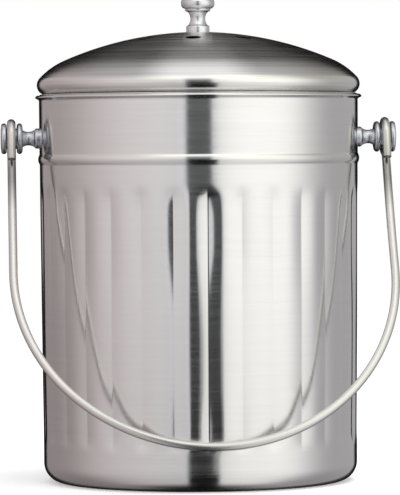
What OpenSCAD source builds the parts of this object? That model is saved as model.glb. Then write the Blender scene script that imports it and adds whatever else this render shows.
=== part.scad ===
// Compost caddy: a drawn steel pail with a reeded belt, a lift-off domed lid that
// carries an odour filter, and a wire bail that swings on two turned studs.
// Millimetres. +Z is up, the front faces -Y, and the origin is the middle of the foot.

/* [Pail] */
// Outer radius of the plain band under the rim
body_r = 93.5; // [80:0.1:110]
// Height from the foot to the top of the rolled rim
body_h = 226.7; // [190:0.1:290]
// Thickness of the pail's steel sheet
wall = 0.8; // [0.6:0.1:1.2]
// How much smaller the radius is below the reeded belt
body_taper = 0.6; // [0.2:0.1:2]
// Radius of the rounded corner between side and base
base_corner_r = 11.4; // [7:0.1:16]
// Width of the flat foot ring
foot_w = 7; // [4:0.5:14]
// Height of the raised panel inside the foot ring
foot_h = 1.6; // [0.8:0.1:3]
// Slope of the step round the raised panel
foot_slope = 45; // [30:1:70]

/* [Rim and bead] */
// How far the rolled rim stands out from the side
rim_reach = 2.5; // [1.6:0.1:4]
// Thickness of the rolled rim before its top is flattened
rim_t = 2.9; // [2.4:0.1:4.6]
// Height taken off the top of the rolled rim to make its flat seat
rim_flat = 0.2; // [0.1:0.05:0.6]
// Distance from the top of the rim down to the middle of the bead
bead_drop = 37.5; // [32:0.1:55]
// Height of the bead
bead_h = 6; // [3.5:0.1:8]
// How far the bead stands out from the side
bead_out = 0.9; // [0.6:0.1:1.6]

/* [Reeded belt] */
// Number of ribs round the belt
rib_count = 30; // [18:2:44]
// Depth of the grooves between the ribs
groove_depth = 0.9; // [0.6:0.05:1.6]
// How far the ribs' crests lie inside the plain strip below them
crest_inset = 0.1; // [0.05:0.05:0.4]
// Distance past each end of the belt to the middle of the ball that shapes the grooves' ends
fade_rise = 3; // [1.5:0.5:8]
// Plain strip between the bead and the belt
belt_top_gap = 1.7; // [0.5:0.1:20]
// Plain strip between the base corner and the belt
belt_base_gap = 3.8; // [1:0.1:30]

/* [Lid] */
// Thickness of the lid's steel sheet
lid_t = 0.7; // [0.5:0.1:1]
// How far the widest part of the lid stands out from the pail's side
lid_overhang = 1.35; // [0.5:0.05:3]
// Radius of the domed crown
crown_r = 197; // [160:1:260]
// Radius of the haunch, the tighter curve between crown and shoulder
haunch_r = 43; // [32:1:60]
// Distance from the lid's widest part in to where the haunch starts
haunch_w = 16; // [12:0.5:20]
// Radius of the rounded shoulder
shoulder_r = 6; // [5:0.1:9]
// Turn of the shoulder below its widest part, where it curls back under
edge_curl = 58; // [45:1:60]
// Sheet thickness of the locating ring
ring_t = 1; // [0.6:0.1:1.4]
// How far the locating ring's flange reaches out over the rim
flange_reach = 0.7; // [0.5:0.1:1.5]
// Depth that the locating ring reaches into the mouth
skirt_h = 9; // [5:0.5:14]
// How far the skirt turns in at its lower end
skirt_lead = 1.2; // [0.5:0.1:2]
// Clearance round the locating ring in the mouth
skirt_gap = 0.8; // [0.4:0.1:1.5]
// Number of vent holes
vent_count = 8; // [5:1:12]
// Diameter of a vent hole
vent_d = 9; // [5:0.5:11]
// Radius of the ring of vent holes
vent_ring_r = 40; // [32:0.5:48]
// Turn of the lid about its axis, measured from a vent hole that faces front
lid_turn = -7.5; // [-22.5:0.5:22.5]

/* [Knob] */
// Radius of the collar at the foot of the knob
knob_collar_r = 6.8; // [6.8:0.1:10]
// Height of the collar above the crown of the lid
knob_collar_h = 3.8; // [2.4:0.1:5]
// Smallest radius of the knob's hollow neck
knob_neck_r = 4.4; // [4:0.1:5.2]
// Radius where the neck runs into the parts above and below it
knob_neck_end_r = 5.9; // [5.4:0.1:5.9]
// Height of the neck
knob_neck_h = 8.4; // [7:0.1:14]
// Radius of the thin ring between neck and head
knob_ring_r = 7.5; // [7:0.1:9.5]
// Height of the thin ring
knob_ring_h = 1.9; // [1.4:0.1:3]
// Radius of the knob's head
knob_head_r = 9.8; // [8.5:0.1:14]
// Height of the rounded band of the head
knob_head_h = 4.9; // [4.5:0.1:8]
// Radius of the head's rounded edges
knob_edge_r = 2; // [1:0.1:2.2]
// How far the edge of the domed top lies inside the band
knob_crease = 0.6; // [0.3:0.1:0.9]
// Height of the domed top
knob_top_h = 3.4; // [2:0.1:5]

/* [Studs] */
// Radius of the small rounded edges on the studs' collars, and on the knob's collar and ring
turned_edge_r = 0.8; // [0.2:0.1:0.8]
// Radius of the collar that sits against the pail
stud_collar_r = 5.9; // [5:0.1:7.5]
// Length of the collar
stud_collar_l = 3.3; // [2:0.1:5]
// Gap between the top of the bead and the lowest point of the collar
stud_gap = 3.5; // [1:0.1:8]
// Smallest radius of the stud's hollow waist
stud_waist_r = 4; // [3.5:0.1:4.6]
// Length of the waist
stud_waist_l = 6.5; // [5:0.1:12]
// Thickness of the flange inside the eye
stud_flange_t = 3.8; // [2.6:0.1:6]
// Thickness of the head outside the eye
stud_head_t = 3.5; // [2.6:0.1:6]
// How far the flange and the head reach past the inner edge of the eye
flange_lap = 2.5; // [1.5:0.1:3.5]
// Radius of the rounded edges of the flange and the head
flange_edge_r = 1.6; // [0.5:0.1:1.7]
// Radius of the slight dome on the outer face of the head
stud_dome_r = 46; // [30:1:80]

/* [Bail] */
// Diameter of the bail wire
wire_d = 5; // [3.6:0.1:5.6]
// Radius of the eye at the middle of the wire
eye_r = 9; // [8.4:0.1:11]
// Length of the eye's free tail past the bottom of the eye
tail_drop = 8; // [5:0.5:12]
// Gap between the free tail and the arm beside it
tail_gap = 0.5; // [0.3:0.1:1]
// Height of the grip above the ground when the bail rests against the front
grip_z = 27.8; // [15:0.1:50]
// Gap between the resting bail and the pail
bail_gap = 0.3; // [0.3:0.05:1]
// Radial clearance between eye and stud
eye_clear = 0.5; // [0.3:0.05:0.8]
// Clearance on each side of the eye between flange and head
eye_side_gap = 0.4; // [0.3:0.05:0.8]

/* [Odour filter] */
// Radius of the charcoal pad
filter_r = 57.5; // [54:0.5:66]
// Thickness of the charcoal pad
filter_h = 10; // [6:0.5:12]
// Radius of the pad's rounded edges
filter_edge_r = 1.5; // [0.5:0.1:2.5]
// Wall thickness of the filter's plastic parts
plastic_t = 1.8; // [1.4:0.1:2.4]
// Clearance round and above the charcoal pad
pad_gap = 0.5; // [0.3:0.1:1]
// Clearance between the cover's skirt and the housing
cover_gap = 0.3; // [0.3:0.05:0.6]
// Depth of the cover's skirt
cover_skirt_h = 6; // [4:0.5:9]
// Length of the boss that holds the housing under the lid
boss_h = 12.8; // [11:0.1:18]
// Radius of the boss
boss_r = 9; // [8:0.5:12]
// Radius of the counterbore for the screw head
counterbore_r = 6.2; // [5.8:0.1:7]
// Depth of the counterbore
counterbore_h = 5; // [4.6:0.1:7]
// Height of the housing's radial ribs
spoke_h = 2.6; // [1.5:0.1:4]
// Number of slots in the cover's outer ring
slot_count = 24; // [12:2:28]
// Width of a slot in the cover
slot_w = 4; // [2.5:0.1:5]
// Radius of the plain middle of the cover
hub_r = 13; // [11:0.5:18]
// Width of the plain rings between and outside the slots
bar_w = 5; // [3:0.5:8]

/* [Screws] */
// Radius of the screws' shanks
screw_r = 2; // [1.5:0.1:2.2]
// Radius of the screws' heads
screw_head_r = 3.8; // [3.2:0.1:4.4]
// Height of the screws' heads
screw_head_h = 2.4; // [1.6:0.1:3]
// Radius of the rounded edges of the screws' heads
screw_edge_r = 0.6; // [0.2:0.1:0.7]
// Length that a stud's screw reaches past the pail's side
stud_grip = 8.2; // [5:0.1:9]
// Length that the knob's screw reaches above the crown
knob_grip = 7; // [4:0.5:9]
// Clearance round a screw in a drilled hole
screw_gap = 0.2; // [0.1:0.05:0.4]
// Clearance round and beyond a screw in its tapped hole
tap_gap = 0.05; // [0.02:0.01:0.1]
// Radius of the washers
washer_r = 5.2; // [4.8:0.1:5.6]
// Thickness of the washers
washer_t = 0.8; // [0.5:0.1:1.2]

/* [Hidden] */
$fn = 120;
over = 1;                 // how far a cutter runs past the face that it opens

// Pail
base_r = body_r - body_taper;
mouth_r = body_r - wall;
foot_r = base_r - base_corner_r;
panel_r = foot_r - foot_w;
bead_z = body_h - bead_drop;
bead_arc_r = (pow(bead_h / 2, 2) + pow(bead_out, 2)) / (2 * bead_out);
rim_arc_r = (pow(rim_t / 2, 2) + pow(rim_reach, 2)) / rim_t;

// Reeded belt
belt_top = bead_z - bead_h / 2 - belt_top_gap;
belt_bottom = base_corner_r + belt_base_gap;
belt_mid = (belt_top + belt_bottom) / 2;
fade_high = belt_top + fade_rise;
fade_low = belt_bottom - fade_rise;
rib_pitch = 360 / rib_count;
crest_r = base_r - crest_inset;
groove_r = crest_r - groove_depth;
core_r = groove_r - groove_depth / 2;         // plain core, hidden behind the ribs
rib_half = rib_pitch / 2;
rib_chord = pow(groove_r, 2) + pow(crest_r, 2) - 2 * groove_r * crest_r * cos(rib_half);
rib_r = rib_chord / (2 * (crest_r - groove_r * cos(rib_half)));

// Lid
lid_r = body_r + lid_overhang;
edge_z = body_h + ring_t;
shoulder_z = edge_z + shoulder_r * sin(edge_curl);
crown_angle = asin((lid_r - haunch_w) / crown_r);
haunch_x = (crown_r - haunch_r) * sin(crown_angle);
haunch_angle = asin((lid_r - shoulder_r - haunch_x) / (haunch_r - shoulder_r));
haunch_z = shoulder_z - (haunch_r - shoulder_r) * cos(haunch_angle);
crown_z = haunch_z - (crown_r - haunch_r) * cos(crown_angle);
apex_z = crown_z + crown_r;
skirt_r = mouth_r - skirt_gap;
flange_r = mouth_r + flange_reach;

// Odour filter, hung from the crown
under_z = apex_z - lid_t;
boss_z = under_z - boss_h;
pad_top = boss_z - pad_gap;
pad_z = pad_top - filter_h;
housing_in = filter_r + pad_gap;
housing_out = housing_in + plastic_t;
cover_in = housing_out + cover_gap;
cover_out = cover_in + plastic_t;
cover_z = pad_z - plastic_t;
slots_out = filter_r - bar_w;
slots_mid = (hub_r + slots_out) / 2;

// Knob's screw
knob_screw_z = boss_z + counterbore_h - washer_t;
knob_screw_l = apex_z + knob_grip - knob_screw_z;

// Knob
neck_z = apex_z + knob_collar_h;
knob_ring_z = neck_z + knob_neck_h;
knob_head_z = knob_ring_z + knob_ring_h;
knob_crease_drop = knob_edge_r - sqrt(pow(knob_edge_r, 2) - pow(knob_edge_r - knob_crease, 2));
knob_top_z = knob_head_z + knob_head_h - knob_crease_drop;

// Studs and bail
turned_flat = 0.1;        // flat left on a stud's collar inside its rounded edge
waist_end_r = stud_collar_r - turned_edge_r - turned_flat;
collar_end = body_r + stud_collar_l;
waist_end = collar_end + stud_waist_l;
flange_end = waist_end + stud_flange_t;
bail_x = flange_end + eye_side_gap + wire_d / 2;
head_x = bail_x + wire_d / 2 + eye_side_gap;
head_end = head_x + stud_head_t;
eye_hole_r = eye_r - wire_d / 2;
stud_neck_r = eye_hole_r - eye_clear;
stud_flange_r = eye_hole_r + flange_lap;
pivot_z = bead_z + bead_h / 2 + stud_gap + stud_collar_r;
grip_y = base_r + wire_d / 2 + bail_gap;
bail_reach = norm([grip_y, pivot_z - grip_z]);
bail_lean = asin(grip_y / bail_reach);
arm_l = bail_reach - bail_x;
bend_run = 1;             // straight wire between the eye and its back bend
run_lap = 0.2;            // how far a straight run reaches into the arc at its end
run_swell = 0.01;         // how much larger a straight run's radius is
bend_angle = acos(eye_r / norm([2 * eye_r, bend_run])) - atan(bend_run / (2 * eye_r));
bend_v = 2 * eye_r * sin(bend_angle) + bend_run * cos(bend_angle);
tail_u = wire_d + tail_gap;
tail_v = eye_r + tail_drop;
tail_turn = atan2(tail_v, tail_u) - acos(eye_r / norm([tail_u, tail_v]));
tail_l = (tail_v - eye_r * sin(tail_turn)) / cos(tail_turn);

// Stud screws
washer_x = sqrt(pow(mouth_r, 2) - pow(washer_r, 2));
stud_screw_x = washer_x - washer_t;
stud_screw_l = body_r + stud_grip - stud_screw_x;

steel = [0.78, 0.77, 0.77];
satin = [0.86, 0.86, 0.84];
polished = [0.62, 0.64, 0.68];
zinc = [0.7, 0.7, 0.7];
plastic = [0.16, 0.17, 0.18];
charcoal = [0.09, 0.09, 0.09];

// ---- Shared sections ----

// Half section of a turned disc with rounded edges, its lower face on y = 0. Thin discs limit the edge.
module disc_section(r, h, edge) {
    e = min(edge, h / 2 - 0.1);
    square([r - e, h]);
    translate([0, e]) square([r, h - 2 * e]);
    for (y = [e, h - e]) translate([r - e, y]) circle(e);
}

// Half section of a hollow waist, r_mid at its middle and r_end at both ends
module waist_section(r_mid, r_end, h) {
    dip = r_end - r_mid;
    arc_r = (pow(h / 2, 2) + pow(dip, 2)) / (2 * dip);
    difference() {
        square([r_end, h]);
        translate([r_mid + arc_r, h / 2]) circle(arc_r);
    }
}

// Half section under a shallow dome of radius r and height h
module cap_section(r, h) {
    arc_r = (pow(r, 2) + pow(h, 2)) / (2 * h);
    intersection() {
        translate([0, h - arc_r]) circle(arc_r);
        square([r, h]);
    }
}

// ---- Pail ----

// Half section of the pail's plain core, drawn in by inset from the outer skin. Two balls carry
// the plain skin in behind the ends of the grooves.
module core_section(inset, top) {
    difference() {
        union() {
            translate([0, belt_mid]) square([body_r - inset, top - belt_mid]);
            translate([0, base_corner_r]) square([base_r - inset, belt_mid - base_corner_r]);
            translate([0, inset]) square([foot_r, base_corner_r]);
            translate([foot_r, base_corner_r]) circle(base_corner_r - inset);
        }
        difference() {
            translate([core_r - inset, fade_low])
                square([body_r - core_r + over, fade_high - fade_low]);
            translate([0, fade_high]) circle(norm([body_r, fade_rise]) - inset);
            translate([0, fade_low]) circle(norm([base_r, fade_rise]) - inset);
        }
    }
}

module bead_section(inset) {
    translate([body_r + bead_out - bead_arc_r, bead_z]) circle(bead_arc_r - inset);
}

// Rolled rim: a lens-shaped hem with its top pressed flat
module rim_section() {
    mid_z = body_h + rim_flat - rim_t / 2;
    lift = rim_arc_r - rim_t / 2;
    intersection() {
        translate([body_r, mid_z - lift]) circle(rim_arc_r);
        translate([body_r, mid_z + lift]) circle(rim_arc_r);
        translate([mouth_r, body_h - rim_t]) square([rim_reach * 2, rim_t]);
    }
}

// Belt of convex ribs that meet in sharp grooves
module ribs(inset) {
    translate([0, 0, belt_bottom]) linear_extrude(belt_top - belt_bottom) {
        circle(core_r - inset);
        for (k = [0 : rib_count - 1])
            rotate((k + 0.5) * rib_pitch - 90) translate([crest_r - rib_r, 0]) circle(rib_r - inset);
    }
}

// Raised bottom panel: lift is 0 for its underside and the sheet's thickness for its top
module panel(lift) {
    shift = lift * tan(foot_slope / 2);       // keeps the sheet even round the step
    run = 1 / tan(foot_slope);
    rotate_extrude() polygon([
        [0, lift - over], [panel_r + shift + over * run, lift - over],
        [panel_r + shift - foot_h * run, lift + foot_h], [0, lift + foot_h]
    ]);
}

module stud_hole(side) {
    translate([side * body_r, 0, pivot_z]) rotate([0, 90, 0])
        cylinder(r = screw_r + screw_gap, h = 2 * (body_r - stud_screw_x), center = true);
}

module pail_body() {
    color(steel) difference() {
        union() {
            rotate_extrude() {
                core_section(0, body_h);
                bead_section(0);
                rim_section();
            }
            ribs(0);
        }
        difference() {
            union() {
                rotate_extrude() {
                    core_section(wall, body_h + over);
                    bead_section(wall);
                }
                ribs(wall);
            }
            panel(wall);
        }
        panel(0);
        for (side = [-1, 1]) stud_hole(side);
    }
}

// ---- Studs ----

// Turns a section drawn as [radius, distance from the pail's axis] into a stud on one side
module on_pivot(side) {
    translate([0, 0, pivot_z]) rotate([0, side * 90, 0]) rotate_extrude() children();
}

module stud(side) {
    color(polished) difference() {
        on_pivot(side) {
            translate([0, body_r - wall]) square([waist_end_r, wall + stud_collar_l / 2]);
            translate([0, body_r]) square([stud_waist_r - turned_edge_r, head_x + over - body_r]);
            translate([0, body_r]) disc_section(stud_collar_r, stud_collar_l, turned_edge_r);
            translate([0, collar_end]) waist_section(stud_waist_r, waist_end_r, stud_waist_l);
            translate([0, waist_end]) disc_section(stud_flange_r, stud_flange_t, flange_edge_r);
            translate([0, flange_end]) square([stud_neck_r, head_x - flange_end]);
            translate([0, head_x]) intersection() {
                disc_section(stud_flange_r, stud_head_t, flange_edge_r);
                translate([0, stud_head_t - stud_dome_r]) circle(stud_dome_r);
            }
        }
        cylinder(r = body_r, h = body_h);
        translate([0, 0, pivot_z]) rotate([0, side * 90, 0])
            cylinder(r = screw_r + tap_gap, h = stud_screw_x + stud_screw_l + over);
    }
}

module stud_screw(side) {
    color(zinc) on_pivot(side) {
        translate([0, stud_screw_x - screw_head_h]) disc_section(screw_head_r, screw_head_h, screw_edge_r);
        translate([0, stud_screw_x - screw_head_h / 2]) square([screw_r, screw_head_h / 2 + stud_screw_l]);
    }
}

module stud_washer(side) {
    color(zinc) on_pivot(side)
        translate([screw_r + screw_gap, stud_screw_x]) square([washer_r - screw_r - screw_gap, washer_t]);
}

module left_stud() { stud(-1); }
module right_stud() { stud(1); }
module left_stud_screw() { stud_screw(-1); }
module right_stud_screw() { stud_screw(1); }
module left_stud_washer() { stud_washer(-1); }
module right_stud_washer() { stud_washer(1); }

// ---- Bail ----

// Arc of wire in the x-y plane, from angle a0 to a1
module wire_arc(r, a0, a1) {
    rotate([0, 0, a0]) rotate_extrude(angle = a1 - a0) translate([r, 0]) circle(d = wire_d);
}

// Straight wire along +y, a hair fatter and longer than its run so that it takes in the arcs' ends
module wire_run(l) {
    translate([0, -run_lap]) rotate([-90, 0, 0]) cylinder(d = wire_d + 2 * run_swell, h = l + 2 * run_lap);
}

// One arm with its eye, drawn with the pivot at the origin and the arm along +y
module bail_arm() {
    wire_arc(eye_r, -180 - tail_turn, bend_angle);
    rotate(bend_angle) translate([eye_r, 0]) wire_run(bend_run);
    translate([eye_r, bend_v]) wire_arc(eye_r, 180, 180 + bend_angle);
    translate([0, bend_v]) wire_run(arm_l - bend_v);
    translate([-eye_r * cos(tail_turn), eye_r * sin(tail_turn)]) rotate(-tail_turn) wire_run(tail_l);
}

module bail_handle() {
    color(satin) translate([0, 0, pivot_z]) rotate([-bail_lean, 0, 0]) {
        for (side = [-1, 1]) translate([side * bail_x, 0, 0]) rotate([-90, 0, 90]) bail_arm();
        translate([0, 0, -arm_l]) rotate([90, 0, 0]) wire_arc(bail_x, 180, 360);
    }
}

// ---- Lid ----

// What lies under one arc of the lid's section, between the radii r0 and r1
module under_arc(centre, r, r0, r1, floor_z) {
    intersection() {
        translate(centre) circle(r);
        translate([r0, floor_z]) square([r1 - r0, apex_z - floor_z]);
    }
}

// Half section of the solid under the lid's skin, drawn in by inset: crown, haunch and shoulder
module dome_section(inset, floor_z) {
    haunch_in = (crown_r - inset) * sin(crown_angle);
    haunch_out = haunch_x + (haunch_r - inset) * sin(haunch_angle);
    under_arc([0, crown_z], crown_r - inset, 0, haunch_in, floor_z);
    under_arc([haunch_x, haunch_z], haunch_r - inset, haunch_in - over, haunch_out, floor_z);
    under_arc([lid_r - shoulder_r, shoulder_z], shoulder_r - inset, haunch_out - over, lid_r + over, floor_z);
}

module lid_dome() {
    color(steel) rotate(lid_turn - 90) difference() {
        rotate_extrude() difference() {
            dome_section(0, edge_z);
            dome_section(lid_t, edge_z - over);
        }
        for (k = [0 : vent_count - 1]) rotate(k * 360 / vent_count)
            translate([vent_ring_r, 0, edge_z]) cylinder(d = vent_d, h = apex_z);
        translate([0, 0, edge_z]) cylinder(r = screw_r + screw_gap, h = apex_z);
    }
}

// Locating ring: a flange on the rim and a skirt in the mouth, with a turned-in lead
module lid_locating_ring() {
    lead_z = body_h - skirt_h;
    lead_r = skirt_r - skirt_lead;
    color(steel) rotate_extrude() polygon([
        [skirt_r - ring_t, edge_z], [flange_r, edge_z], [flange_r, body_h], [skirt_r, body_h],
        [skirt_r, lead_z + skirt_lead], [lead_r, lead_z],
        [lead_r - ring_t, lead_z], [skirt_r - ring_t, lead_z + skirt_lead]
    ]);
}

module lid_knob() {
    color(satin) difference() {
        rotate_extrude() {
            translate([0, apex_z - over]) square([knob_collar_r, over + knob_collar_h / 2]);
            translate([0, apex_z]) square([knob_neck_r - turned_edge_r, knob_top_z + over - apex_z]);
            translate([0, apex_z]) disc_section(knob_collar_r, knob_collar_h, turned_edge_r);
            translate([0, neck_z]) waist_section(knob_neck_r, knob_neck_end_r, knob_neck_h);
            translate([0, knob_ring_z]) disc_section(knob_ring_r, knob_ring_h, turned_edge_r);
            translate([0, knob_head_z]) disc_section(knob_head_r, knob_head_h, knob_edge_r);
            translate([0, knob_top_z]) cap_section(knob_head_r - knob_crease, knob_top_h);
        }
        translate([0, 0, crown_z]) sphere(crown_r);
        translate([0, 0, under_z]) cylinder(r = screw_r + tap_gap, h = lid_t + knob_grip + over);
    }
}

module knob_screw() {
    color(zinc) rotate_extrude() {
        translate([0, knob_screw_z - screw_head_h]) disc_section(screw_head_r, screw_head_h, screw_edge_r);
        translate([0, knob_screw_z - screw_head_h / 2]) square([screw_r, screw_head_h / 2 + knob_screw_l]);
    }
}

module knob_washer() {
    color(zinc) rotate_extrude() translate([screw_r + screw_gap, knob_screw_z])
        square([washer_r - screw_r - screw_gap, washer_t]);
}

// ---- Odour filter ----

// Housing: a wall and a boss that meet the crown's underside, joined by ribs over the pad
module filter_housing() {
    color(plastic) difference() {
        intersection() {
            union() {
                rotate_extrude() {
                    translate([housing_in, pad_z]) square([plastic_t, apex_z - pad_z]);
                    translate([slots_mid - plastic_t / 2, boss_z]) square([plastic_t, spoke_h]);
                    translate([0, boss_z]) square([boss_r, boss_h + over]);
                }
                for (k = [0 : vent_count - 1]) rotate(lid_turn - 90 + (k + 0.5) * 360 / vent_count)
                    translate([boss_r - over, -plastic_t / 2, boss_z])
                        cube([housing_in - boss_r + 2 * over, plastic_t, spoke_h]);
            }
            translate([0, 0, crown_z]) sphere(crown_r - lid_t);
        }
        translate([0, 0, boss_z - over]) cylinder(r = counterbore_r, h = counterbore_h + over);
        translate([0, 0, boss_z]) cylinder(r = screw_r + screw_gap, h = boss_h + over);
    }
}

module charcoal_filter() {
    color(charcoal) rotate_extrude() translate([0, pad_z]) disc_section(filter_r, filter_h, filter_edge_r);
}

// Row of round-ended radial slots between the radii r0 and r1
module slot_ring(count, r0, r1) {
    for (k = [0 : count - 1]) rotate(k * 360 / count) {
        translate([r0 + slot_w / 2, -slot_w / 2]) square([r1 - r0 - slot_w, slot_w]);
        for (r = [r0 + slot_w / 2, r1 - slot_w / 2]) translate([r, 0]) circle(d = slot_w);
    }
}

// Cover: a slotted floor under the pad and a skirt that pushes over the housing
module filter_cover() {
    color(plastic) {
        translate([0, 0, cover_z]) linear_extrude(plastic_t) difference() {
            circle(cover_out);
            slot_ring(slot_count / 2, hub_r, slots_mid - bar_w / 2);
            slot_ring(slot_count, slots_mid + bar_w / 2, slots_out);
        }
        rotate_extrude() translate([cover_in, cover_z]) square([plastic_t, plastic_t + cover_skirt_h]);
    }
}

pail_body();
left_stud();
right_stud();
left_stud_screw();
right_stud_screw();
left_stud_washer();
right_stud_washer();
bail_handle();
lid_dome();
lid_locating_ring();
lid_knob();
knob_screw();
knob_washer();
filter_housing();
charcoal_filter();
filter_cover();
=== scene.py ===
import math

import bpy
import numpy as np
from mathutils import Matrix, Vector, noise


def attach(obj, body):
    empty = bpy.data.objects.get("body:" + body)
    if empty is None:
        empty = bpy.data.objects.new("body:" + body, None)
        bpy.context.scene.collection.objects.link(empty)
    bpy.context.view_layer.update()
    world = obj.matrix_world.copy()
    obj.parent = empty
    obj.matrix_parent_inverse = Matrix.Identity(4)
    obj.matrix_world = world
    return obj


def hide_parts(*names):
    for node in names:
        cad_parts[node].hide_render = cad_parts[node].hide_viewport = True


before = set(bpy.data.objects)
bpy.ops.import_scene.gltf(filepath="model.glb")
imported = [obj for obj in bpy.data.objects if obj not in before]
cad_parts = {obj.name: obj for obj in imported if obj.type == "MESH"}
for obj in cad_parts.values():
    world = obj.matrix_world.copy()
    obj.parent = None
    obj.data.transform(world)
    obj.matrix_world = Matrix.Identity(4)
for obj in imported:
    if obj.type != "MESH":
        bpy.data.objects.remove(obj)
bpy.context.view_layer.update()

scene = bpy.context.scene
MM = 0.001

# Sizes in millimetres, as in the CAD source. The centre of an arc is (radius, height).
WALL, SHEET = 0.8, 0.7                          # thickness of the pail and of the lid
RIM_Z = 226.7                                   # the pail's rim, where the lid sits
PIVOT_Z = 201.6                                 # axis of the two studs
CROWN_R, CROWN_Z = 197.0, 66.59                 # lid section: crown, haunch and shoulder
HAUNCH_R, HAUNCH = 43.0, (61.64, 207.717)
SHOULDER_R, SHOULDER = 6.0, (88.85, 232.788)
APEX_Z = CROWN_Z + CROWN_R


# ---------------------------------------------------------------- meshes and curves

def make_object(name, verts, faces, sharp=35.0):
    """A smooth-shaded mesh object from vertices in millimetres. Edges over the sharp angle stay sharp."""
    mesh = bpy.data.meshes.new(name)
    mesh.from_pydata((np.asarray(verts, float) * MM).tolist(), [], faces)
    mesh.update()
    mesh.shade_smooth()
    if sharp:
        mesh.set_sharp_from_angle(angle=math.radians(sharp))
    obj = bpy.data.objects.new(name, mesh)
    scene.collection.objects.link(obj)
    return obj


def ring_faces(rows, loop=False):
    """Quads between neighbouring rows of vertex numbers, and fans where a row is a single vertex."""
    faces = []
    for low, high in zip(rows, rows[1:] + (rows[:1] if loop else [])):
        n = max(len(low), len(high))
        for j in range(n):
            k = (j + 1) % n
            if len(low) == 1:
                faces.append((low[0], high[k], high[j]))
            elif len(high) == 1:
                faces.append((low[j], low[k], high[0]))
            else:
                faces.append((low[j], low[k], high[k], high[j]))
    return faces


def revolve(path, angles, loop=False, shape=None):
    """Turns path, a list of (radius, height), about z.

    shape(row, angles) gives that row's change of radius.
    """
    verts, rows = [], []
    for i, (r, z) in enumerate(path):
        if r < 1e-6:
            rows.append([len(verts)])
            verts.append((0.0, 0.0, z))
            continue
        radius = r + (shape(i, angles) if shape else 0.0) * np.ones(len(angles))
        rows.append(list(range(len(verts), len(verts) + len(angles))))
        verts.extend(np.column_stack([radius * np.cos(angles), radius * np.sin(angles),
                                      np.full(len(angles), z)]).tolist())
    return verts, ring_faces(rows, loop)


def turn(steps):
    """Angles of one full turn, in radians."""
    return np.arange(steps) * (2 * math.pi / steps)


def rounded(corners, per_arc):
    """A path through corners (x, y, fillet radius), with each fillet as an arc."""
    path = []
    for i, (x, y, f) in enumerate(corners):
        if f == 0 or i in (0, len(corners) - 1):
            path.append((x, y))
            continue
        p = np.array([x, y])
        u = np.array(corners[i - 1][:2]) - p
        v = np.array(corners[i + 1][:2]) - p
        u, v = u / np.linalg.norm(u), v / np.linalg.norm(v)
        half = math.acos(np.clip(u @ v, -1, 1)) / 2
        centre = p + (u + v) / np.linalg.norm(u + v) * f / math.sin(half)
        start, end = p + u * f / math.tan(half) - centre, p + v * f / math.tan(half) - centre
        a0, a1 = math.atan2(start[1], start[0]), math.atan2(end[1], end[0])
        sweep = (a1 - a0 + math.pi) % (2 * math.pi) - math.pi
        for k in range(per_arc + 1):
            a = a0 + sweep * k / per_arc
            path.append((centre[0] + f * math.cos(a), centre[1] + f * math.sin(a)))
    return path


def arc(centre, r, a0, a1, steps):
    """Points on a circle from angle a0 to a1, in degrees."""
    return [(centre[0] + r * math.cos(math.radians(a)), centre[1] + r * math.sin(math.radians(a)))
            for a in np.linspace(a0, a1, steps + 1)]


def dip(r_mid, r_end, h0, h1, steps=16):
    """Hollow arc of a waist between the heights h0 and h1."""
    sag, half = r_end - r_mid, (h1 - h0) / 2
    big = (half * half + sag * sag) / (2 * sag)
    return [(r_mid + big - math.sqrt(big * big - (h - half) ** 2), h0 + h)
            for h in np.linspace(0, 2 * half, steps + 1)]


def curve(points):
    """A smooth function through points (x, y), with x rising, which is level at its peaks and ends."""
    xs, ys = np.array(points, float).T
    slopes = np.gradient(ys, xs)
    flat = np.r_[True, np.diff(np.sign(np.diff(ys))) != 0, True]
    slopes[flat] = 0

    def value(x):
        x = np.clip(x, xs[0], xs[-1])
        i = np.clip(np.searchsorted(xs, x, side="right") - 1, 0, len(xs) - 2)
        w = xs[i + 1] - xs[i]
        t = (x - xs[i]) / w
        return ((2 * t ** 3 - 3 * t ** 2 + 1) * ys[i] + (t ** 3 - 2 * t ** 2 + t) * w * slopes[i]
                + (3 * t ** 2 - 2 * t ** 3) * ys[i + 1] + (t ** 3 - t ** 2) * w * slopes[i + 1])
    return value


def smoothstep(low, high, x):
    """0 at low and 1 at high, with a smooth change between them."""
    t = np.clip((x - low) / (high - low), 0, 1)
    return t * t * (3 - 2 * t)


def hump(x, centre, width, power=2):
    """1 at centre, falling to 0 over a few widths. A higher power gives a flatter top."""
    return np.exp(-np.abs((x - centre) / width) ** power)


def between(a, b, share):
    """a where share is 0, b where it is 1."""
    return a + (b - a) * share


# ---------------------------------------------------------------- materials

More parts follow.
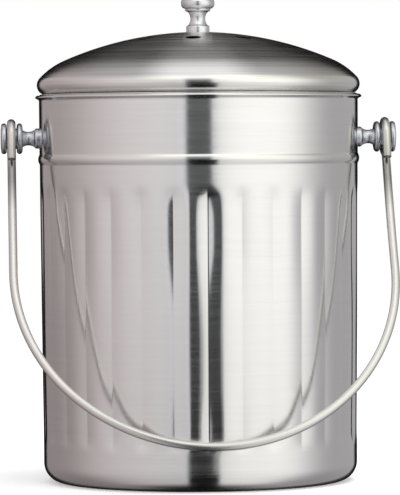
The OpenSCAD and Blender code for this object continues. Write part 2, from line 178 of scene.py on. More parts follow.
class Nodes:
    """Short-hand for building the node tree of a material or of the world."""

    def __init__(self, block, output="OutputMaterial"):
        self.block = block
        block.use_nodes = True
        self.tree = block.node_tree
        self.tree.nodes.clear()
        self.out = self.add(output)

    def add(self, kind, **settings):
        node = self.tree.nodes.new("ShaderNode" + kind)
        for key, value in settings.items():
            setattr(node, key, value)
        return node

    def put(self, socket, value):
        """Links value to socket if it is another node's output, and else sets it there."""
        if isinstance(value, bpy.types.NodeSocket):
            self.tree.links.new(value, socket)
        else:
            socket.default_value = value

    def feed(self, node, **inputs):
        """Puts each value in the input of that name, _ standing for a space, and gives the output."""
        for key, value in inputs.items():
            self.put(node.inputs[key.replace("_", " ")], value)
        return node.outputs[0]

    def math(self, operation, a, b=0.0):
        node = self.add("Math", operation=operation)
        self.put(node.inputs[0], a)
        self.put(node.inputs[1], b)
        return node.outputs[0]

    def scale(self, colour, factor):
        return self.feed(self.add("VectorMath", operation="SCALE"), Vector=colour, Scale=factor)

    def coordinates(self):
        """Place on the object, in metres."""
        return self.add("TexCoord").outputs["Object"]

    def split(self, vector):
        node = self.add("SeparateXYZ")
        self.put(node.inputs[0], vector)
        return node.outputs

    def combine(self, x, y, z):
        return self.feed(self.add("CombineXYZ"), X=x, Y=y, Z=z)

    def noise(self, vector=None, scale=1.0, detail=2.0, rough=0.5):
        vector = self.coordinates() if vector is None else vector
        return self.feed(self.add("TexNoise"), Vector=vector, Scale=scale, Detail=detail, Roughness=rough)

    def spread(self, value, low, high, from_low=0.25, from_high=0.75):
        """Maps value, between from_low and from_high, to low to high."""
        return self.feed(self.add("MapRange"), Value=value, From_Min=from_low, From_Max=from_high,
                         To_Min=low, To_Max=high)

    def ramp(self, value, *stops):
        node = self.add("ValToRGB")
        elements = node.color_ramp.elements
        while len(elements) < len(stops):
            elements.new(0.5)
        for element, (position, colour) in zip(elements, stops):
            element.position = position
            element.color = (*colour, 1)
        self.put(node.inputs[0], value)
        return node.outputs[0]

    def bump(self, height, strength, distance):
        return self.feed(self.add("Bump"), Strength=strength, Distance=distance, Height=height)

    def surface(self, shader):
        self.put(self.out.inputs["Surface"], shader)

    def principled(self, **inputs):
        self.surface(self.feed(self.add("BsdfPrincipled"), **inputs))


def shades(colour, low, high):
    """Two stops for a colour ramp: colour times low, and colour times high."""
    return ((0.3, tuple(c * low for c in colour)),
            (0.7, tuple(min(1, c * high) for c in colour)))


def turned_metal(name, colour, roughness, anisotropy, across, along, tone, grain,
                 axis="Z", cut=0.06, streaks=0.0, shade=None):
    """Metal with fine lines round an axis, and reflections that blur across them.

    across and along are the lines' fineness per metre, and cut is their relief. tone and grain are the
    shares by which colour and roughness vary. streaks, a share of the fineness, gives the roughness
    broader lines of its own. shade names a point attribute that darkens the metal.
    """
    n = Nodes(bpy.data.materials.new(name))
    x, y, z = n.split(n.coordinates())
    if axis == "X":
        x, y, z = y, z, x
    radius = n.math("SQRT", n.math("ADD", n.math("MULTIPLY", x, x), n.math("MULTIPLY", y, y)))
    run = n.math("MULTIPLY", n.math("SUBTRACT", radius, z), across)
    flat = [n.math("MULTIPLY", v, along) for v in (x, y)]
    lines = n.noise(n.combine(*flat, run), detail=4.0, rough=0.6)
    broad = n.noise(n.combine(*flat, n.math("MULTIPLY", run, 0.12)))
    mix = n.math("ADD", n.math("MULTIPLY", lines, 0.6), n.math("MULTIPLY", broad, 0.4))
    base = n.ramp(mix, *shades(colour, 1 - tone, 1 + tone))
    if shade:
        base = n.scale(base, n.add("Attribute", attribute_name=shade).outputs["Fac"])
    if streaks:
        mix = n.noise(n.combine(*flat, n.math("MULTIPLY", run, streaks)), detail=3.0, rough=0.6)
    n.principled(
        Base_Color=base, Metallic=1.0,
        Roughness=n.spread(mix, roughness * (1 - grain), roughness * (1 + grain), 0.3, 0.7),
        Normal=n.bump(lines, cut, 0.00002),
        Anisotropic=anisotropy, Anisotropic_Rotation=0.25,
        Tangent=n.add("Tangent", direction_type="RADIAL", axis=axis).outputs[0])
    return n.block


def drawn_wire(name, colour, length):
    """Satin wire with fine lines along it, from the wire's own UV map, dull cut ends, and painted shade
    near the eyes.

    The map's u is the share of a turn round the wire, and its v is the millimetres along it.
    """
    n = Nodes(bpy.data.materials.new(name))
    u, v, _ = n.split(n.add("UVMap", uv_map="wire").outputs[0])
    lines = n.noise(n.combine(n.math("MULTIPLY", u, 34.0), n.math("MULTIPLY", v, 0.5), 0.0),
                    detail=4.0, rough=0.6)
    patch = n.noise(scale=55.0, detail=3.0)
    mix = n.math("ADD", n.math("MULTIPLY", lines, 0.55), n.math("MULTIPLY", patch, 0.45))
    to_end = n.math("MINIMUM", v, n.math("SUBTRACT", length, v))
    sawn = n.spread(to_end, 0.4, 1.0, 0.1, 0.4)
    # Painted shade on the tail, lightening over its first 17 mm
    tail_shade = n.spread(to_end, 0.75, 1.0, 1.0, 17.0)
    # Painted shade where the eye bends into the arm
    bend_shade = n.spread(to_end, 1.0, 0.46, 56.0, 70.0)
    bend = n.math("MAXIMUM", bend_shade, n.spread(to_end, 0.0, 1.0, 62.0, 98.0))
    # Dull cut ends, times the painted shade of the tail and the bend
    tone = n.math("MULTIPLY", n.math("MULTIPLY", sawn, tail_shade), bend)
    relief = n.math("ADD", lines, n.noise(scale=1200.0))
    n.principled(
        Base_Color=n.scale(n.ramp(mix, *shades(colour, 0.94, 1.06)), tone), Metallic=1.0,
        Roughness=n.spread(mix, 0.24, 0.33, 0.3, 0.7),
        Normal=n.bump(relief, 0.16, 0.00004),
        Anisotropic=0.35,
        Tangent=n.add("Tangent", direction_type="UV_MAP", uv_map="wire").outputs[0])
    return n.block


def moulded_plastic(name, colour):
    """Plastic with a fine moulded grain."""
    n = Nodes(bpy.data.materials.new(name))
    n.principled(
        Base_Color=n.ramp(n.noise(scale=40.0), *shades(colour, 0.88, 1.12)),
        Roughness=n.spread(n.noise(scale=300.0), 0.38, 0.55),
        Normal=n.bump(n.noise(scale=1500.0, detail=3.0), 0.35, 0.00006))
    return n.block


def felt(name, colour):
    """Needled felt: fibres with tufts between them."""
    n = Nodes(bpy.data.materials.new(name))
    fibre = n.noise(scale=900.0, detail=5.0, rough=0.7)
    tuft = n.feed(n.add("TexVoronoi", feature="SMOOTH_F1"), Vector=n.coordinates(), Scale=420.0)
    height = n.math("ADD", fibre, n.math("MULTIPLY", tuft, 0.7))
    n.principled(
        Base_Color=n.ramp(fibre, *shades(colour, 0.5, 1.9)),
        Roughness=n.spread(fibre, 0.85, 1.0), Sheen_Weight=0.35,
        Normal=n.bump(height, 0.8, 0.0005))
    return n.block


STEEL = turned_metal("brushed_sheet_steel", (0.755, 0.75, 0.745), roughness=0.18, anisotropy=0.92,
                     across=2600.0, along=14.0, tone=0.02, grain=0.25, streaks=0.42)
LID_STEEL = turned_metal("spun_lid_steel", (0.75, 0.745, 0.73), roughness=0.20, anisotropy=0.92,
                         across=1300.0, along=8.0, tone=0.16, grain=0.3, cut=0.3, shade="vent_shade")
SATIN = turned_metal("satin_cast_metal", (0.70, 0.715, 0.735), roughness=0.27, anisotropy=0.3,
                     across=3000.0, along=60.0, tone=0.03, grain=0.15)
CHROME = turned_metal("turned_chrome", (0.56, 0.585, 0.63), roughness=0.27, anisotropy=0.5,
                      across=4200.0, along=30.0, tone=0.04, grain=0.2, axis="X")
zinc = dict(colour=(0.56, 0.56, 0.55), roughness=0.3, anisotropy=0.4,
            across=5200.0, along=90.0, tone=0.06, grain=0.25)
ZINC = turned_metal("zinc_plated_steel", **zinc)
ZINC_X = turned_metal("zinc_plated_steel_side", axis="X", **zinc)
PLASTIC = moulded_plastic("moulded_filter_plastic", (0.028, 0.03, 0.032))
FELT = felt("charcoal_felt", (0.012, 0.012, 0.0125))


def place(obj, body, material, node):
    """Gives obj its material and lets it ride on body in place of a CAD node."""
    obj.data.materials.append(material)
    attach(obj, body)
    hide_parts(node)


# ---------------------------------------------------------------- pail

RIBS = 30
PITCH = 2 * math.pi / RIBS
GROOVE_AT = math.radians(-90.5)                 # the front groove
BASE_R, CORNER_H = 92.15, 11.4                  # side at the top of the rounded base corner
FOOT_R, PANEL_R, PANEL_H = 81.3, 74.5, 1.6      # flat foot ring, and the raised panel inside it
BAND_R, MOUTH_R = 93.55, 92.7                   # plain band above the bead, and the open mouth
BELT_BOTTOM, BELT_TOP = 22.5, 176.0
# Slope of a groove's flanks in degrees, by height: the deepest groove and the shallowest
deep = curve([(BELT_BOTTOM, 0), (26, 5), (30, 8.6), (40, 8.4), (50, 7.4), (60, 6.5), (100, 6.7), (115, 7.9),
              (127, 9.4), (140, 11.2), (152, 11.2), (163, 9.7), (168.3, 7.2), (170.5, 3.8), (172.8, 1.2),
              (BELT_TOP, 0)])
shallow = curve([(BELT_BOTTOM, 0), (26, 3), (32, 5), (45, 4.8), (55, 4.2), (80, 3.4), (107, 4.2), (125, 6),
                 (145, 7.2), (160, 7.2), (166, 6), (169.4, 4.2), (172.8, 1.2), (BELT_TOP, 0)])
side_r = curve([(CORNER_H, BASE_R), (24, 92.2), (60, 92.5), (100, 92.85), (130, 93.05), (165, 93.3),
                (185, 93.4)])


def base_corner(inset):
    """Rounded corner between foot and side, drawn in by inset."""
    return [(FOOT_R + (BASE_R - FOOT_R - inset) * math.cos(a), CORNER_H + (CORNER_H - inset) * math.sin(a))
            for a in np.radians(np.linspace(-88, 0, 15))]


def pail_profile():
    """Outer skin from the middle of the base to the rim, then the inner skin back down, as (r, z)."""
    flat_r = PANEL_R - PANEL_H
    base = rounded([(0, PANEL_H, 0), (flat_r, PANEL_H, 2.2), (PANEL_R, 0, 1.2)], 5)
    base += [(PANEL_R + 0.6, 0), (FOOT_R, 0)]
    base += base_corner(0)
    heights = np.concatenate([np.linspace(13, 40, 14), np.linspace(43.5, 143, 22),
                              np.linspace(146, BELT_TOP, 20)])
    belt = [(float(side_r(z)), z) for z in heights]
    bead = rounded([(93.4, 184.7, 0), (93.4, 186.2, 2.0), (95.08, 189.2, 5.0), (BAND_R, 192.0, 1.6),
                    (BAND_R, 193.8, 0)], 5)
    band = [(BAND_R + 0.1 * k / 5, 194.8 + 5.4 * k) for k in range(6)]
    rim = rounded([(93.65, 222.4, 0), (93.65, 224.05, 1.0), (96.3, 225.35, 0.6), (95.0, 226.6, 0.7),
                   (94.3, RIM_Z, 0.0), (93.2, RIM_Z, 0.5), (MOUTH_R, RIM_Z - 0.7, 0.5),
                   (MOUTH_R, RIM_Z - 2.2, 0)], 5)
    side = belt + bead + band
    inside = [(r - WALL, z) for r, z in reversed(side[::2])]
    floor = rounded([(FOOT_R - 0.6, WALL, 0), (PANEL_R + 0.35, WALL, 1.2),
                     (flat_r + 0.35, WALL + PANEL_H, 2.2), (0, WALL + PANEL_H, 0)], 5)
    return base + side + rim + inside + base_corner(WALL)[::-2] + floor


def rib_angles():
    """Angles round the pail, with the points closer together beside each groove."""
    half = 1 - (1 - np.linspace(0, 1, 9)) ** 1.35
    t = np.concatenate([-half[:0:-1], half[:-1]])
    return np.concatenate([GROOVE_AT + (k + 0.5) * PITCH + t * PITCH / 2 for k in range(RIBS)])


def build_pail():
    """Drawn sheet with a belt of convex ribs that meet in grooves of uneven depth."""
    path = pail_profile()
    # From shallow, 0, to deep, 1, counted to the right from the front groove
    depth = 0.25 + 0.2 * np.sin(2.4 * np.arange(RIBS))
    depth[0], depth[-1] = 1.0, 0.18

    def groove(row, angles):
        r, z = path[row]
        if z < BELT_BOTTOM or z > BELT_TOP:
            return 0.0
        at = (angles - GROOVE_AT) / PITCH
        near = np.abs(at % 1 * 2 - 1)           # 0 in the middle of a rib, 1 in a groove
        share = depth[np.floor(at + 0.5).astype(int) % RIBS]
        slope = np.radians(between(shallow(z), deep(z), share))
        return -slope * (PITCH / 2) * r * (near * near - near ** 3 / 3)

    obj = make_object("pail_shell", *revolve(path, rib_angles(), shape=groove), sharp=50.0)
    place(obj, "pail", STEEL, "pail_body")


build_pail()


# ---------------------------------------------------------------- lid

VENTS, VENT_RING, VENT_R = 8, 40.0, 4.5
VENT_EASE_R, VENT_EASE_H = 0.09, 0.08           # rounding of a vent's edges
FIRST_VENT = math.radians(-97.5)
PATCH = 7.5                                     # a vent's patch of mesh reaches this far in and out
PER_SECTOR, PER_SIDE = 48, 14                   # steps of a patch's border, round the lid and outwards
LID_ANGLES = FIRST_VENT - math.pi / VENTS + turn(VENTS * PER_SECTOR)
CROWN_END = math.atan2(HAUNCH[0], HAUNCH[1] - CROWN_Z)


class SheetMesh:
    """Rows of vertices, each with its normal and its level of painted shade, and the faces between rows."""

    def __init__(self):
        self.verts, self.normals, self.tones, self.faces = [], [], [], []

    def row(self, points, normals, tone=1.0):
        first = len(self.verts)
        self.verts.extend(points.tolist())
        self.normals.extend(normals.tolist())
        self.tones.extend([tone] * len(points))
        return list(range(first, first + len(points)))

    def join(self, rows, flip=True):
        """Faces between the rows, turned over where flip is true."""
        self.faces.extend(face[::-1] if flip else face for face in ring_faces(rows))


def crown(x, y, inset, way=1):
    """Points on the crown, inset into its sheet, and their normals, which face outwards for way 1."""
    r = CROWN_R - inset
    z = np.sqrt(r * r - x * x - y * y)
    return np.column_stack([x, y, CROWN_Z + z]), np.column_stack([x, y, z]) * way / r


def crown_skin(mesh, inset, way):
    """One skin of the crown: a polar grid with a ring of patches in it, one round each vent.

    Gives the outermost row and, for each vent, its centre, the directions to its rim and the rim's row.
    """
    def circle(r):
        return mesh.row(*crown(r * np.cos(LID_ANGLES), r * np.sin(LID_ANGLES), inset, way))

    pole = mesh.row(*crown(np.zeros(1), np.zeros(1), inset, way))
    inner = [circle(r) for r in np.linspace(3, VENT_RING - PATCH, 10)]
    outer_to = (CROWN_R - inset) * math.sin(CROWN_END)
    outer = [circle(r) for r in np.linspace(VENT_RING + PATCH, outer_to, 16)]
    mesh.join([pole] + inner, way > 0)
    mesh.join(outer, way > 0)
    spokes = []
    for k in range(VENTS):
        a = FIRST_VENT + (k - 0.5) * 2 * math.pi / VENTS
        r = np.linspace(VENT_RING - PATCH, VENT_RING + PATCH, PER_SIDE + 1)[1:-1]
        spokes.append(mesh.row(*crown(r * math.cos(a), r * math.sin(a), inset, way)))
    rims = []
    for k in range(VENTS):
        a = FIRST_VENT + k * 2 * math.pi / VENTS
        centre = np.array([VENT_RING * math.cos(a), VENT_RING * math.sin(a)])
        sector = [(k * PER_SECTOR + j) % len(LID_ANGLES) for j in range(PER_SECTOR + 1)]
        border = [inner[-1][i] for i in sector] + spokes[(k + 1) % VENTS]
        border += [outer[0][i] for i in reversed(sector)] + spokes[k][::-1]
        edge = np.array([mesh.verts[i][:2] for i in border]) - centre
        length = np.linalg.norm(edge, axis=1, keepdims=True)
        rows = [border]
        for t in (0.25, 0.5, 0.72, 0.88, 1.0):
            p = centre + edge / length * between(length, VENT_R + VENT_EASE_R, t)
            rows.append(mesh.row(*crown(p[:, 0], p[:, 1], inset, way)))
        mesh.join(rows, way > 0)
        rims.append((centre, edge / length, rows[-1]))
    return outer[-1], rims


def build_lid():
    """Domed sheet with a ring of vent holes and a rounded lower edge."""
    mesh = SheetMesh()
    top_edge, top_rims = crown_skin(mesh, 0.0, 1)
    under_edge, under_rims = crown_skin(mesh, SHEET, -1)
    # Walls of the vents, painted in deep shade. A zero normal is left to Blender.
    for (centre, ways, top), (_, _, under) in zip(top_rims, under_rims):
        p = centre + ways * VENT_R
        rows = [top]
        for drop in (VENT_EASE_H, SHEET - VENT_EASE_H):
            points, _ = crown(p[:, 0], p[:, 1], drop)
            rows.append(mesh.row(points, np.zeros_like(points), tone=0.03))
        mesh.join(rows + [under])

    # Section from the crown's edge round the lower edge and back: points, centre, way of the normals
    start, end = 90 - math.degrees(CROWN_END), -68.0
    meet = math.degrees(math.atan2(SHOULDER[1] - HAUNCH[1], SHOULDER[0] - HAUNCH[0]))
    sections = [(arc(HAUNCH, HAUNCH_R, start, meet, 16)[1:], HAUNCH, 1),
                (arc(SHOULDER, SHOULDER_R, meet, end, 22)[1:], SHOULDER, 1),
                (arc(SHOULDER, SHOULDER_R - SHEET / 2, end - 3.5, end - 3.5, 0), SHOULDER, 0),
                (arc(SHOULDER, SHOULDER_R - SHEET, end, meet, 22), SHOULDER, -1),
                (arc(HAUNCH, HAUNCH_R - SHEET, meet, start, 16)[1:-1], HAUNCH, -1)]
    cos, sin, ones = np.cos(LID_ANGLES), np.sin(LID_ANGLES), np.ones(len(LID_ANGLES))
    rows = [top_edge]
    for points, centre, way in sections:
        for r, z in points:
            normal = np.array([r - centre[0], z - centre[1]])
            normal = normal / np.linalg.norm(normal) * way
            rows.append(mesh.row(np.column_stack([r * cos, r * sin, z * ones]),
                                 np.column_stack([normal[0] * cos, normal[0] * sin, normal[1] * ones])))
    mesh.join(rows + [under_edge])

    obj = make_object("lid_shell", mesh.verts, mesh.faces, sharp=0)
    obj.data.normals_split_custom_set_from_vertices(mesh.normals)
    # The painted shade of the vent walls, which darkens the lid's metal
    obj.data.attributes.new("vent_shade", "FLOAT", "POINT").data.foreach_set("value", mesh.tones)
    place(obj, "lid", LID_STEEL, "lid_dome")


build_lid()


def build_ring():
    """Locating ring: flange, skirt and turned-in lead."""
    top, low = RIM_Z + 0.5, RIM_Z - 9
    inner_r, outer_r, flange_r = 90.9, 91.9, 93.2
    path = rounded([(inner_r, low + 3.5, 0), (inner_r, top, 0.6), (flange_r, top, 0.2),
                    (flange_r, RIM_Z, 0.2), (outer_r, RIM_Z, 0.35), (outer_r, low + 1.2, 1.4),
                    (90.7, low, 0.2), (89.7, low, 0.2), (inner_r, low + 1.2, 1.0),
                    (inner_r, low + 3.0, 0)], 5)
    verts, faces = revolve(path, turn(288), loop=True)
    obj = make_object("lid_ring", verts, [face[::-1] for face in faces])
    place(obj, "lid", STEEL, "lid_locating_ring")


build_ring()


def build_knob():
    """Foot, hollow waist, thin ring and rounded head with a domed top."""
    z, base = APEX_Z, APEX_Z - 0.2
    path = rounded([(0, base, 0), (6.8, base, 0), (6.8, z + 3.8, 0.9), (5.85, z + 3.8, 0)], 5)
    path += dip(4.35, 5.8, z + 3.85, z + 11.7)
    path += rounded([(5.95, z + 11.75, 0), (7.5, z + 12.5, 0.6), (7.5, z + 13.5, 0.4),
                     (7.1, z + 13.5, 0)], 5)
    path += rounded([(7.1, z + 13.65, 0), (9.8, z + 13.5, 2.6), (9.8, z + 19.6, 2.5),
                     (7.0, z + 19.9, 0)], 9)
    cap_r, rise = 7.0, 1.9
    top, ball = z + 21.8, (cap_r ** 2 + rise ** 2) / (2 * rise)
    path += [(float(r), top - ball + math.sqrt(ball * ball - r * r)) for r in np.linspace(6.9, 0, 12)]
    obj = make_object("knob", *revolve(path, turn(128)), sharp=40.0)
    place(obj, "lid", SATIN, "lid_knob")


build_knob()


# ---------------------------------------------------------------- studs

def build_stud(side):
    """Collar, hollow waist, flange, journal for the wire eye and domed head, turned about x."""
    seat, collar, waist, flange, head, end = 93.1, 96.6, 103.3, 106.8, 112.7, 116.3
    disc_r, journal_r = 9.0, 6.0
    path = rounded([(0, seat, 0), (5.9, seat, 0), (5.95, collar, 1.5), (4.5, collar, 0)], 6)
    path += dip(3.95, 4.95, collar + 0.05, waist - 0.05)
    path += rounded([(5.0, waist - 0.05, 0), (disc_r, waist + 0.35, 1.7), (disc_r, flange, 1.55),
                     (journal_r, flange, 0.25), (journal_r, head, 0.25), (disc_r, head, 1.5),
                     (disc_r, end - 0.55, 1.5), (5.5, end - 0.1, 5.0), (0, end, 0)], 8)
    verts, faces = revolve(path, turn(128))
    # From about z to about x; the left stud is the right one turned half round
    verts = np.roll(verts, 1, axis=1) * (side, side, 1)
    name = "right_stud" if side > 0 else "left_stud"
    obj = make_object(name + "_turned", verts, faces, sharp=40.0)
    # The turned lines and the tangent are about the stud's own axis, so its origin sits on that axis
    obj.location = (0, 0, PIVOT_Z * MM)
    place(obj, "pail", CHROME, name)


for side in (-1, 1):
    build_stud(side)


# ---------------------------------------------------------------- bail

def bail_line():
    """Centre line of the wire: an eye round each stud, two arms and a half-round grip."""
    eye_r, bail_x, arm_l, lean = 9.0, 110.0, 88.406, math.radians(28.8386)
    # In the plane of an arm, u is across it and v is down from the stud
    bend_run = 1.0
    bend = math.acos(eye_r / math.hypot(2 * eye_r, bend_run)) - math.atan(bend_run / (2 * eye_r))
    bend_v = 2 * eye_r * math.sin(bend) + bend_run * math.cos(bend)
    tail_u, tail_v = 5.5, 17.0
    tail_turn = math.atan2(tail_v, tail_u) - math.acos(eye_r / math.hypot(tail_u, tail_v))
    arm = [(-tail_u, tail_v)]
    arm += arc((0, 0), eye_r, -180 - math.degrees(tail_turn), math.degrees(bend), 44)
    arm += arc((eye_r, bend_v), eye_r, 180 + math.degrees(bend), 180, 12)
    arm += [(0, v) for v in np.linspace(bend_v + 4, arm_l - 3, 12)]
    grip = arc((0, 0), bail_x, 180, 360, 100)
    line = np.array([(-bail_x, u, -v) for u, v in arm] + [(x, 0, z - arm_l) for x, z in grip]
                    + [(bail_x, u, -v) for u, v in reversed(arm)])
    # It hangs on the front of the pail, out of the vertical by lean
    c, s = math.cos(lean), math.sin(lean)
    x, y, z = line.T
    line = np.column_stack([x, y * c + z * s, -y * s + z * c + PIVOT_Z])
    # The hand-bent grip bulges a little at its lower right
    at = np.degrees(np.arctan2((line[:, 2] - PIVOT_Z) / c + arm_l, line[:, 0]))
    bulge = 2.3 * np.cos(np.radians(np.clip((at + 47) * 90 / 85, -90, 90))) ** 2
    line[:, 0] += bulge * np.cos(np.radians(at))
    line[:, 2] += bulge * np.sin(np.radians(at))
    return line


def build_bail():
    """The wire, swept along its centre line without twist, with its cut ends eased."""
    wire_r, ease, sides = 2.48, 0.35, 28
    line = bail_line()
    ahead = np.gradient(line, axis=0)
    ahead /= np.linalg.norm(ahead, axis=1, keepdims=True)
    travelled = np.r_[0, np.cumsum(np.linalg.norm(np.diff(line, axis=0), axis=1))]
    out = np.cross(ahead[0], (1, 0, 0))
    across = []
    for t in ahead:
        out = out - (out @ t) * t
        out /= np.linalg.norm(out)
        across.append((out.copy(), np.cross(t, out)))

    # Sections as point number, shift along the wire, radius
    last = len(line) - 1
    sections = [(0, 0.0, 0.0), (0, 0.0, wire_r - ease), (0, ease, wire_r)]
    sections += [(i, 0.0, wire_r) for i in range(1, last)]
    sections += [(last, -ease, wire_r), (last, 0.0, wire_r - ease), (last, 0.0, 0.0)]
    verts, rows, uv = [], [], []
    for i, shift, r in sections:
        count = sides if r else 1
        a = turn(count)[:, None]
        u, w = across[i]
        rows.append(list(range(len(verts), len(verts) + count)))
        verts.extend((line[i] + ahead[i] * shift + r * (np.cos(a) * u + np.sin(a) * w)).tolist())
        uv.extend((j / sides, travelled[i]) for j in range(count))
    obj = make_object("bail_wire_swept", verts, ring_faces(rows), sharp=40.0)

    layer = obj.data.uv_layers.new(name="wire")
    for polygon in obj.data.polygons:
        us = [uv[v][0] for v in polygon.vertices]
        wraps = max(us) - min(us) > 0.5
        for loop, v in zip(polygon.loop_indices, polygon.vertices):
            u, along = uv[v]
            layer.data[loop].uv = (u + 1 if wraps and u < 0.5 else u, along)
    material = drawn_wire("satin_drawn_wire", (0.645, 0.635, 0.615), float(travelled[-1]))
    place(obj, "bail", material, "bail_handle")


build_bail()


# ---------------------------------------------------------------- charcoal pad

def build_pad():
    """Needled felt disc: slightly crowned, with an uneven edge and shallow tufts."""
    low, high, crowned = 239.61, 249.57, 0.35
    flat_r, edge_r, round_r = 54.5, 54.6, 2.2
    path = [(r, low) for r in np.linspace(0, flat_r, 30)]
    path += arc((edge_r, low + round_r), round_r, -80, 0, 6)
    path += arc((edge_r, high - round_r - 0.4), round_r, 0, 80, 6)
    path += [(r, high - crowned * (r / flat_r) ** 2) for r in np.linspace(54.2, 0, 30)]
    verts, faces = revolve(path, turn(180))
    verts = np.array(verts)
    for p in verts:
        q = Vector(p)
        swell = noise.noise(q * 0.05) * 0.25 + noise.noise(q * 0.45) * 0.16
        r = math.hypot(p[0], p[1])
        if r > 54:
            p[:2] *= 1 + (0.35 * swell + 0.002 * noise.noise(q * 0.12)) / r
        p[2] = np.clip(p[2] + swell * (0.5 if p[2] > low + 5 else 0.3), low, high)
    obj = make_object("charcoal_pad", verts, faces, sharp=0)
    place(obj, "filter_cover", FELT, "charcoal_filter")


build_pad()


# ---------------------------------------------------------------- CAD nodes that stay

def finish_node(name, material):
    """Gives a CAD node its one material."""
    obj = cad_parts[name]
    obj.data.materials.clear()
    obj.data.materials.append(material)
    for polygon in obj.data.polygons:
        polygon.material_index = 0


for node in ("filter_housing", "filter_cover"):
    finish_node(node, PLASTIC)
for node in ("knob_screw", "knob_washer"):
    finish_node(node, ZINC)
for node in ("left_stud_screw", "right_stud_screw", "left_stud_washer", "right_stud_washer"):
    finish_node(node, ZINC_X)


# ---------------------------------------------------------------- studio

CAMERA_SIDE = 3.6        # degrees by which the camera stands to the left of the object's front


def studio_walls(az, el):
    """Softer light from the left, bright from the right, fading above and below."""
    left = 0.36 + 0.16 * smoothstep(8, 36, el) + 0.46 * hump(az, -28, 62) + 0.08 * hump(az, -11.5, 2.2)
    left = left * (1 - 0.22 * smoothstep(0, -2.4, el) * smoothstep(-70, -115, az))
    right = 0.46 + 0.12 * smoothstep(34, 60, el) + 0.82 * hump(az, 44, 42, power=3)
    wall = between(left, right, smoothstep(-12, 12, az))
    wall = wall * (1 + 0.10 * smoothstep(0, 12, el)) * (1 - 0.16 * smoothstep(14, 50, el))
    wall = wall * (1 - 0.30 * smoothstep(0, -42, el))
    # Darker in the strip where the floor would show, on the camera's side
    floor_side = smoothstep(-3.9, -4.7, el) * (1 - smoothstep(-14, -28, el))
    return wall * (1 - 0.2 * floor_side * hump(az, 0, 70, power=4))


def studio_card(across, over, el):
    """Cover and light of a dark card in front of the camera, whose edges stay parallel up and down."""
    low = 4.2 * smoothstep(-3.9, -4.5, el)
    narrowing = np.maximum((1 + np.cos(np.radians(over))) / 2, 0.08)
    turned = np.degrees(np.arcsin(np.clip(across / narrowing, -1, 1)))
    cover = smoothstep(-9.6, -7.4, turned) * (1 - smoothstep(8.0 + low, 10.2 + low, turned))
    cover = cover * (1 - smoothstep(45, 60, np.abs(over)) * (el > 0)) * (np.abs(over) < 100)
    light = 0.008 + 0.02 * smoothstep(-4.9, -4.1, el) + 0.125 * smoothstep(-5, 3.5, el)
    return cover, light + 0.25 * smoothstep(10, 30, el) + 0.6 * smoothstep(30, 50, el)


def studio_light(az, el):
    """Radiance of the studio. az is from the camera's side, with + to the right; both are in degrees."""
    ar, er = np.radians(az), np.radians(el)
    across = np.sin(ar) * np.cos(er)
    over = np.degrees(np.arctan2(np.sin(er), np.cos(ar) * np.cos(er)))
    light = between(studio_walls(az, el), 0.58, smoothstep(55, 80, el))
    # Behind the object it is dark, with a sharp edge near the horizon and a soft one higher up
    high = smoothstep(18, 44, el)
    behind = smoothstep(150.5 - 28 * high, 155.5 + 12 * high, np.abs(az)) * (1 - smoothstep(60, 80, el))
    light = between(light, 0.006 + 0.09 * smoothstep(22, 50, el), behind)
    cover, dark = studio_card(across, over, el)
    light = between(light, dark, cover)
    # Long soft box overhead, from the front to behind the zenith
    width = np.clip(0.42 + (90 - over) * 0.0068, 0.09, 0.66)
    box = smoothstep(20, 50, over) * (1 - smoothstep(84, 152, over))
    box = box * (1 - smoothstep(0.3 * width, width, np.abs(across)))
    light = light + 0.54 * box
    return light * (1 - 0.93 * smoothstep(-58, -82, el))


def studio_tint(az, el):
    """Red, green and blue shares of that light: warm on the left, cool on the card."""
    warm = smoothstep(0, -115, az) * smoothstep(60, 20, el)
    tint = np.column_stack([1 + 0.09 * warm, 1 - 0.025 * warm, 1 - 0.035 * warm])
    card_edge = 12
    tint *= np.where(az[:, None] > card_edge, (1.0, 1.0, 0.975), (1.0, 0.985, 1.0))
    tint *= np.where(np.abs(az[:, None]) < card_edge, (0.97, 1.0, 1.03), (1.0, 1.0, 1.0))
    tint[:, 1:] *= 1 + smoothstep(60, 105, az)[:, None] * (-0.03, 0.015)
    tint[:, 2] *= 1 - 0.08 * smoothstep(8, 20, el) * smoothstep(52, 40, el) * smoothstep(-90, -30, az)
    return tint


def build_dome():
    """Sphere of light round the object, which only reflections see."""
    radius, centre_z, around, up = 2000, 130, 360, 181
    az, el = np.meshgrid(np.linspace(-180, 180, around, endpoint=False), np.linspace(-90, 90, up))
    az, el = az.ravel(), el.ravel()
    ar, er = np.radians(az), np.radians(el)
    verts = np.column_stack([np.sin(ar) * np.cos(er), -np.cos(ar) * np.cos(er), np.sin(er)]) * radius
    verts[:, 2] += centre_z
    rows = np.arange(around * up).reshape(up, around).tolist()
    dome = make_object("studio_dome", verts, ring_faces(rows), sharp=0)
    az = (az + CAMERA_SIDE + 180) % 360 - 180
    light = np.column_stack([studio_tint(az, el) * studio_light(az, el)[:, None], np.ones_like(az)])
    colour = dome.data.color_attributes.new("light", "FLOAT_COLOR", "POINT")
    colour.data.foreach_set("color", light.astype(np.float32).ravel())
    n = Nodes(bpy.data.materials.new("studio_light"))
    n.surface(n.feed(n.add("Emission"), Color=n.add("Attribute", attribute_name="light").outputs["Color"]))
    n.block.cycles.emission_sampling = "NONE"
    dome.data.materials.append(n.block)
    dome.visible_camera = dome.visible_diffuse = dome.visible_shadow = False
    dome.visible_volume_scatter = False


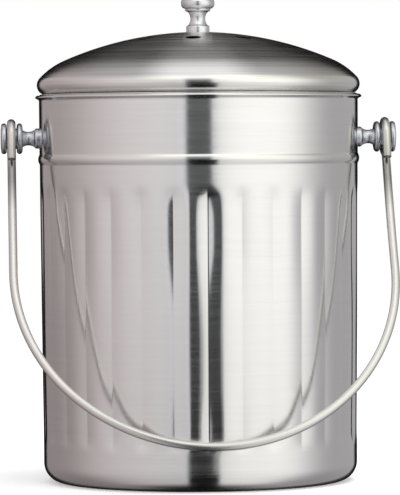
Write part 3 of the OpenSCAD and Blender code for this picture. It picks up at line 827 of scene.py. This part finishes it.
def build_floor():
    """Wide pale disc, a little brighter to the camera, which keeps the object's shadow."""
    radius, steps = 9000, 96
    verts = [(radius * math.cos(t), radius * math.sin(t), 0) for t in turn(steps)]
    floor = make_object("studio_floor", verts, [tuple(range(steps))], sharp=0)
    n = Nodes(bpy.data.materials.new("studio_floor"))
    diffuse = n.feed(n.add("BsdfDiffuse"), Color=(0.86, 0.86, 0.86, 1))
    glow = n.feed(n.add("Emission"),
                  Strength=n.math("MULTIPLY", n.add("LightPath").outputs["Is Camera Ray"], 0.24))
    both = n.add("AddShader")
    n.put(both.inputs[0], diffuse)
    n.put(both.inputs[1], glow)
    n.surface(both.outputs[0])
    floor.data.materials.append(n.block)
    floor.visible_glossy = False


def build_world():
    """White surroundings for the camera, gloss and glass, and a little less for the light on the object."""
    scene.world = bpy.data.worlds.new("studio")
    n = Nodes(scene.world, "OutputWorld")
    rays = n.add("LightPath").outputs
    seen = n.math("MAXIMUM", rays["Is Camera Ray"], rays["Is Transmission Ray"])
    seen = n.math("MAXIMUM", seen, rays["Is Glossy Ray"])
    n.surface(n.feed(n.add("Background"), Color=(1, 1, 1, 1), Strength=n.spread(seen, 0.9, 1.0, 0.0, 1.0)))


def build_lamp():
    """Soft disc lamp above, to the right and in front."""
    lamp = bpy.data.lights.new("softbox_above", "AREA")
    lamp.shape, lamp.size, lamp.energy = "DISK", 1.1, 16.0
    obj = bpy.data.objects.new("softbox_above", lamp)
    obj.location = (0.35, -0.25, 1.7)
    obj.rotation_euler = (Vector((0, 0, 0.1)) - obj.location).to_track_quat("-Z", "Y").to_euler()
    obj.visible_glossy = False
    scene.collection.objects.link(obj)


def build_camera():
    """Camera at the photograph's angle, rolled by the lean of the photographed pail."""
    data = bpy.data.cameras.new("camera")
    data.sensor_fit, data.sensor_width, data.lens = "AUTO", 36.0, 280.9
    data.dof.use_dof = False
    camera = bpy.data.objects.new("camera", data)
    scene.collection.objects.link(camera)
    eye, target, roll = Vector((-0.1427, -2.2675, 0.195)), Vector((0.00044, 0.0, 0.13694)), -0.37
    aim = (target - eye).to_track_quat("-Z", "Y").to_matrix() @ Matrix.Rotation(math.radians(roll), 3, "Z")
    camera.matrix_world = Matrix.Translation(eye) @ aim.to_4x4()
    scene.camera = camera


build_dome()
build_floor()
build_world()
build_lamp()
build_camera()
scene.view_settings.view_transform = "Standard"
